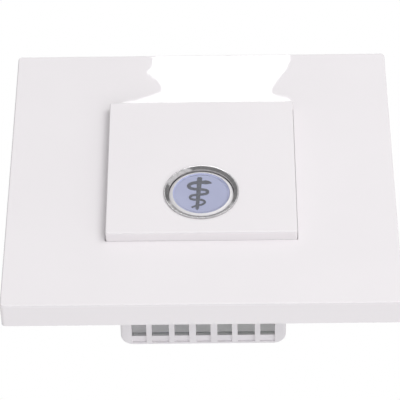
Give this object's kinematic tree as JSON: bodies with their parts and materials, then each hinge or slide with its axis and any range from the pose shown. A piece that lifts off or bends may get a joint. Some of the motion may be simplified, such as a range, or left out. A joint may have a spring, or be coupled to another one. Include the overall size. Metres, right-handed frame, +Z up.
{
  "type": "medical alarm button",
  "caption": "Wall-mounted medical alarm button: square plate, raised square cover, round sprung button with a metal ring and a staff-and-snake legend, vented housing behind.",
  "frame": {"origin": "centre of the wall plate on the wall plane", "axes": "+X right seen from the front, +Z up the wall, +Y into the wall; the front faces -Y"},
  "size_m": [0.0904, 0.0386, 0.0838],
  "materials": {
    "plate_plastic": "white moulded plastic, high gloss",
    "cover_plastic": "white moulded plastic, high gloss",
    "frame_plastic": "off-white reinforced plastic, dull",
    "housing_plastic": "white moulded plastic, satin",
    "bezel_metal": "bright plated metal",
    "lens_plastic": "clear polished plastic",
    "legend_film": "lavender translucent film",
    "legend_ink": "dark grey print",
    "carrier_plastic": "white translucent plastic",
    "spring_steel": "plain spring wire",
    "switch_plastic": "black plastic",
    "tinned_metal": "tinned sheet",
    "switch_stem_plastic": "red-brown plastic",
    "board_laminate": "green solder mask",
    "led_plastic": "white lamp body",
    "resistor_ceramic": "black chip resistor",
    "chip_plastic": "black moulded epoxy",
    "connector_plastic": "black plastic",
    "pin_brass": "gold-coloured pins",
    "spacer_brass": "turned brass",
    "screw_steel": "zinc plated",
    "relay_plastic": "dark blue plastic",
    "capacitor_sleeve": "black sleeve",
    "terminal_plastic": "green plastic",
    "clamp_brass": "brass cage"
  },
  "bodies": {
    "root": {"front_plate": "plate_plastic", "mounting_frame": "frame_plastic", "module_cover": "cover_plastic", "button_bezel": "bezel_metal", "return_spring": "spring_steel", "switch_body": "switch_plastic", "switch_top_plate": "tinned_metal", "button_board": "board_laminate", "led_1": "led_plastic", "led_2": "led_plastic", "led_3": "led_plastic", "led_4": "led_plastic", "led_resistor_1": "resistor_ceramic", "led_resistor_2": "resistor_ceramic", "led_resistor_3": "resistor_ceramic", "led_resistor_4": "resistor_ceramic", "controller_chip": "chip_plastic", "header_socket": "connector_plastic", "header_strip": "connector_plastic", "header_pins": "pin_brass", "board_spacers": "spacer_brass", "board_screws": "screw_steel", "interface_board": "board_laminate", "call_relay": "relay_plastic", "smoothing_capacitor": "capacitor_sleeve", "surge_diode": "chip_plastic", "terminal_block": "terminal_plastic", "terminal_clamps": "clamp_brass", "terminal_screws": "screw_steel", "module_housing": "housing_plastic"},
    "button": {"button_carrier": "carrier_plastic", "button_lens": "lens_plastic", "legend_disc": "legend_film", "legend_symbol": "legend_ink"},
    "switch_plunger": {"switch_stem": "switch_stem_plastic"}
  },
  "joints": [
    {"name": "button_press", "type": "slide", "parent": "root", "child": "button", "axis": [0, 1, 0], "range_m": [0, 0.0006], "stiffness_N_per_m": 900, "deforming": ["return_spring"]},
    {"name": "stem_press", "type": "slide", "parent": "root", "child": "switch_plunger", "axis": [0, 1, 0], "range_m": [0, 0.0006]}
  ],
  "couplings": [
    {"joint": "stem_press", "follows": "button_press", "ratio": 1}
  ]
}
